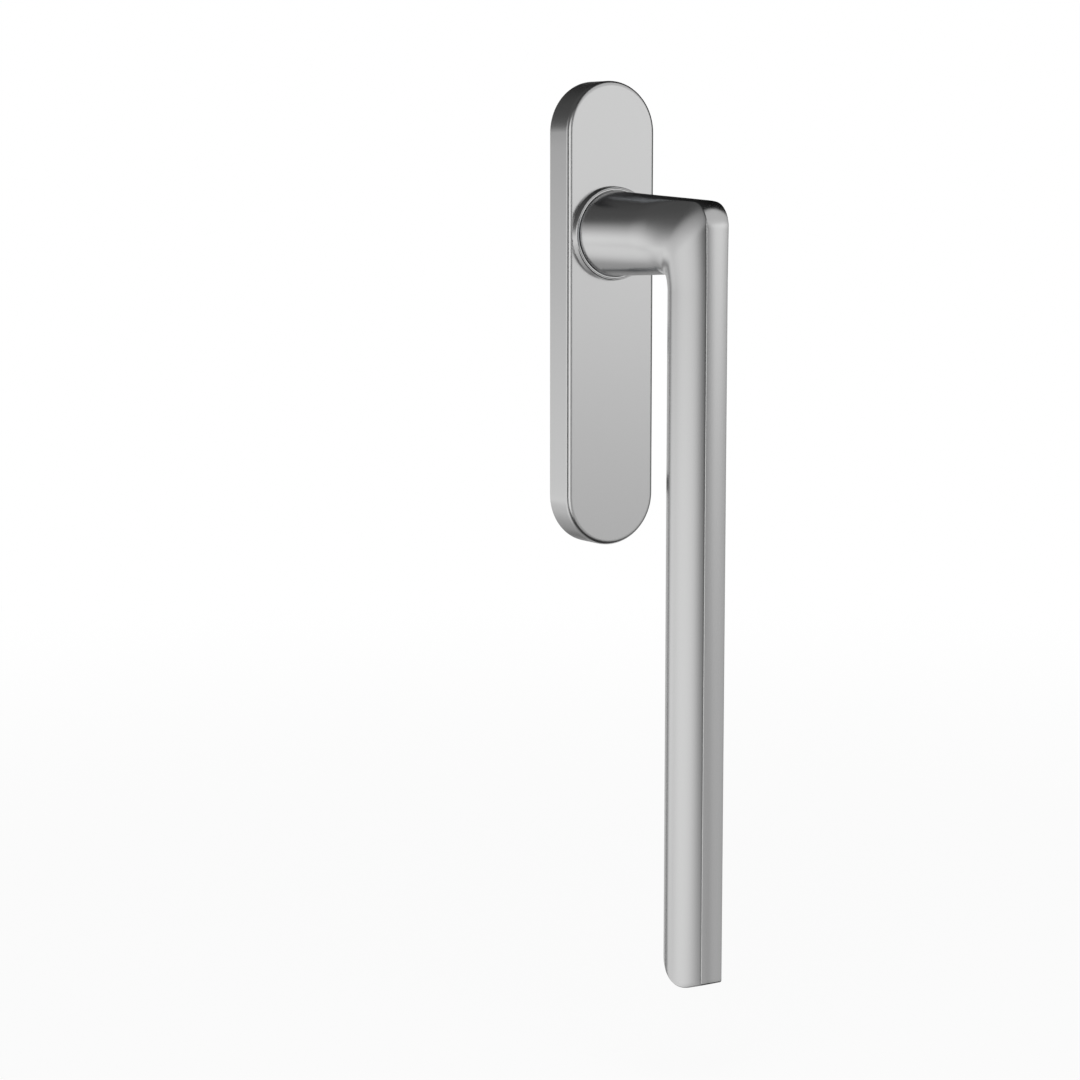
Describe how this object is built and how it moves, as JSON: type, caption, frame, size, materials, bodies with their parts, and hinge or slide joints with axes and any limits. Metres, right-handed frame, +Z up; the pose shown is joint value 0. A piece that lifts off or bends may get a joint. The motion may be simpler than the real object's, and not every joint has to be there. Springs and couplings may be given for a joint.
{
  "type": "lift and slide door handle",
  "caption": "Lift and slide door handle: oval cover plate with a proud collar, and a long cranked lever with a ridged grip that turns half a turn on its square spindle.",
  "frame": {"origin": "on the spindle's axis, in the plane of the door's face", "axes": "+Z up along the plate with the lever hanging down, +Y into the door along the spindle, +X to the right as seen from in front"},
  "size_m": [0.038, 0.1043, 0.3288],
  "materials": {
    "satin_steel": "satin brushed",
    "die_cast": "as cast",
    "bush_plastic": "moulded",
    "plated_steel": "zinc plated",
    "spring_steel": "phosphated"
  },
  "bodies": {
    "plate": {"cover_plate": "satin_steel", "guide_ring": "satin_steel", "base_plate": "die_cast", "front_bush": "bush_plastic", "rear_bush": "bush_plastic", "upper_fixing_screw": "plated_steel", "lower_fixing_screw": "plated_steel", "upper_screw_washer": "plated_steel", "lower_screw_washer": "plated_steel", "upper_cover_spring": "spring_steel", "lower_cover_spring": "spring_steel"},
    "handle": {"lever": "satin_steel", "spindle": "plated_steel", "spindle_pin": "plated_steel", "stop_disc": "plated_steel", "shim_washer": "plated_steel", "spring_washer": "spring_steel", "retaining_ring": "spring_steel"}
  },
  "joints": [
    {"name": "handle_turn", "type": "hinge", "parent": "plate", "child": "handle", "pos_m": [0, 0, 0], "axis": [0, 1, 0], "range_deg": [0, 180]}
  ]
}
